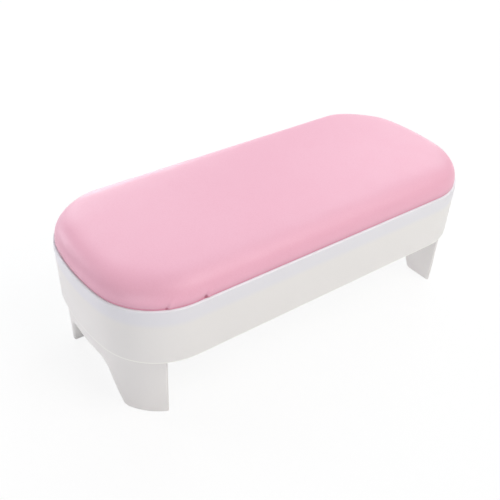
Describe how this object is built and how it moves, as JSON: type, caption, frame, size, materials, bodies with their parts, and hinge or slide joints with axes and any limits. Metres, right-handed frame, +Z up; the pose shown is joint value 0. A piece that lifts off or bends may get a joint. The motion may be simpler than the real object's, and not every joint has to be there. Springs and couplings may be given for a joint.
{
  "type": "manicure hand rest",
  "caption": "Low table-top rest for a hand during nail care: a rounded moulded stand on hollow legs with arched ends, topped by a soft crowned cushion.",
  "frame": {"origin": "middle of the footprint, on the surface that the stand rests on", "axes": "+X along the length, +Y across the width, +Z up"},
  "size_m": [0.26, 0.115, 0.09],
  "materials": {
    "white_plastic": "satin moulded, slightly milky white",
    "pink_leather": "smooth soft synthetic leather, satin",
    "foam": "open-cell foam, matt",
    "fibreboard": "plain pressed fibreboard, matt",
    "steel": "zinc-plated steel"
  },
  "bodies": {
    "root": {"stand": "white_plastic", "cushion_board": "fibreboard", "foam_pad": "foam", "cushion_cover": "pink_leather", "board_screw_1": "steel", "board_screw_2": "steel", "board_screw_3": "steel", "board_screw_4": "steel", "board_screw_5": "steel", "board_screw_6": "steel", "cover_staple_1": "steel", "cover_staple_2": "steel", "cover_staple_3": "steel", "cover_staple_4": "steel", "cover_staple_5": "steel", "cover_staple_6": "steel", "cover_staple_7": "steel", "cover_staple_8": "steel", "cover_staple_9": "steel", "cover_staple_10": "steel", "cover_staple_11": "steel", "cover_staple_12": "steel", "cover_staple_13": "steel", "cover_staple_14": "steel", "cover_staple_15": "steel", "cover_staple_16": "steel"}
  },
  "joints": []
}
